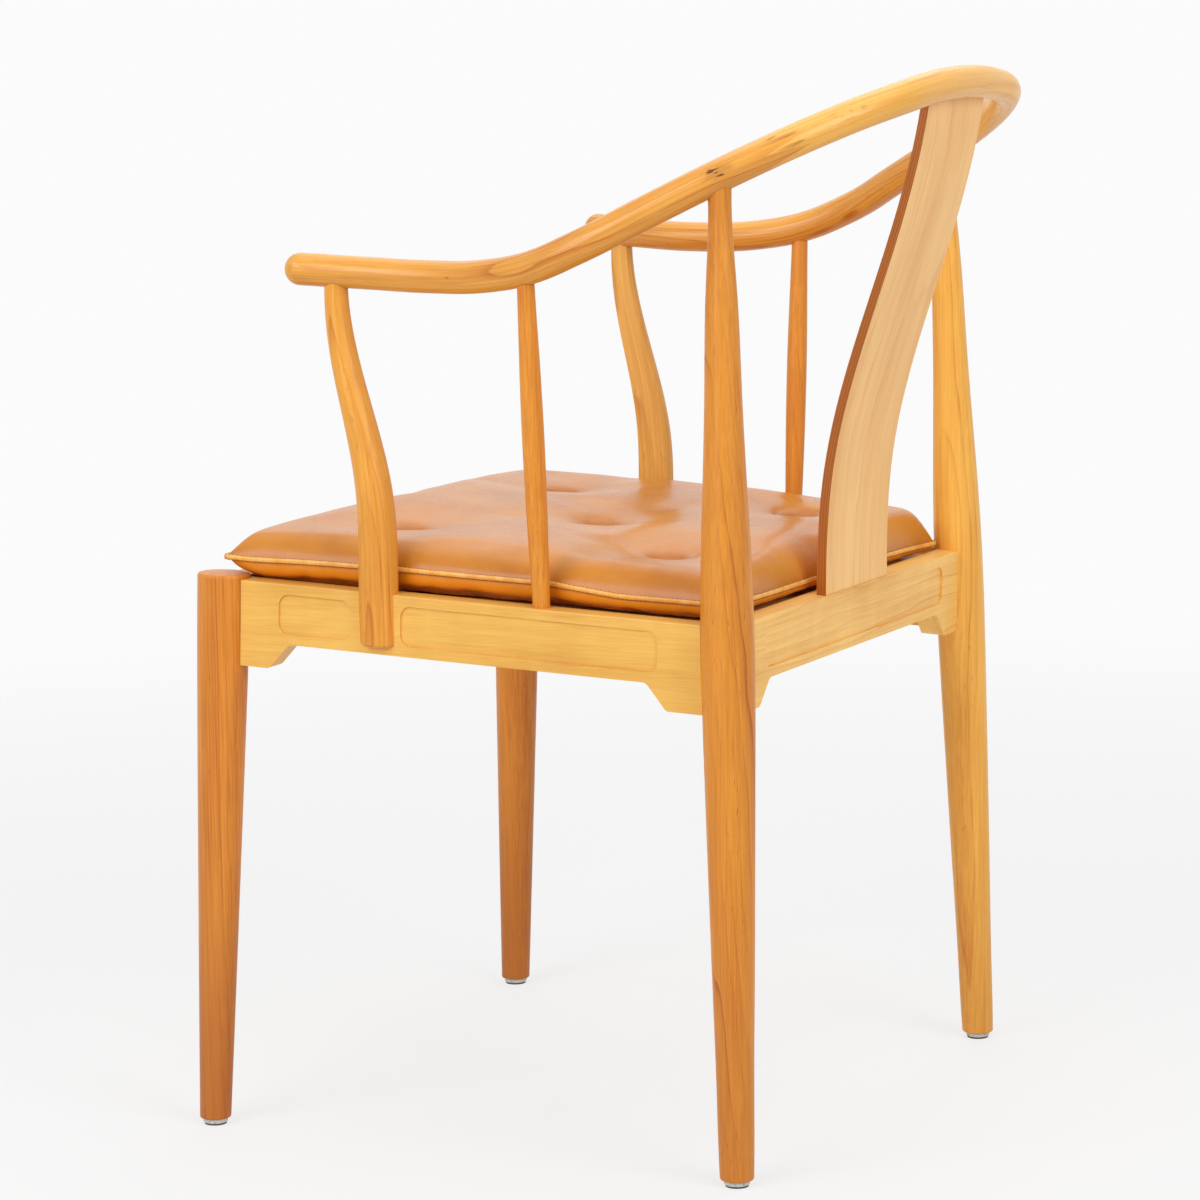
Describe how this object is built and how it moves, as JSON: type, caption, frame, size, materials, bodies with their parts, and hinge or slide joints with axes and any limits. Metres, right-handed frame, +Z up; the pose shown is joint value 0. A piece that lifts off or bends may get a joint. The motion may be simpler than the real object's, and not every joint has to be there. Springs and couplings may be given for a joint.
{
  "type": "armchair",
  "caption": "Wooden armchair with a horseshoe-shaped rod crest rail, curved back splat, goose-neck arm posts, splayed turned legs and a loose tufted leather cushion.",
  "frame": {"origin": "on the floor, under the middle of the chair's bounding box", "axes": "+Z up, the chair faces -Y, +X is the sitter's left"},
  "size_m": [0.5288, 0.5597, 0.8224],
  "materials": {
    "rail_rod_wood": "satin",
    "leg_wood": "satin",
    "seat_rail_wood": "satin",
    "post_wood": "satin",
    "laminated_wood": "satin",
    "plywood": "matte",
    "block_wood": "matte",
    "screw_steel": "satin",
    "glide_plastic": "matte",
    "pad_felt": "matte",
    "nail_steel": "satin",
    "cushion_leather": "satin"
  },
  "bodies": {
    "frame": {"crest_back": "rail_rod_wood", "crest_arm_left": "rail_rod_wood", "crest_arm_right": "rail_rod_wood", "rear_leg_left": "leg_wood", "rear_leg_right": "leg_wood", "front_leg_left": "leg_wood", "front_leg_right": "leg_wood", "side_rail_left": "seat_rail_wood", "side_rail_right": "seat_rail_wood", "front_rail": "seat_rail_wood", "rear_rail": "seat_rail_wood", "arm_post_left": "post_wood", "arm_post_right": "post_wood", "arm_spindle_left": "post_wood", "arm_spindle_right": "post_wood", "back_splat": "laminated_wood", "seat_panel": "plywood", "corner_block_front_left": "block_wood", "corner_block_front_right": "block_wood", "corner_block_rear_left": "block_wood", "corner_block_rear_right": "block_wood", "block_screws": "screw_steel", "glide_front_left": "glide_plastic", "glide_front_right": "glide_plastic", "glide_rear_left": "glide_plastic", "glide_rear_right": "glide_plastic", "glide_pads": "pad_felt", "glide_nails": "nail_steel"},
    "cushion": {"seat_cushion": "cushion_leather"}
  },
  "joints": [
    {"name": "cushion_lift", "type": "slide", "parent": "frame", "child": "cushion", "axis": [0, 0, 1], "range_m": [0, 0.12]}
  ]
}
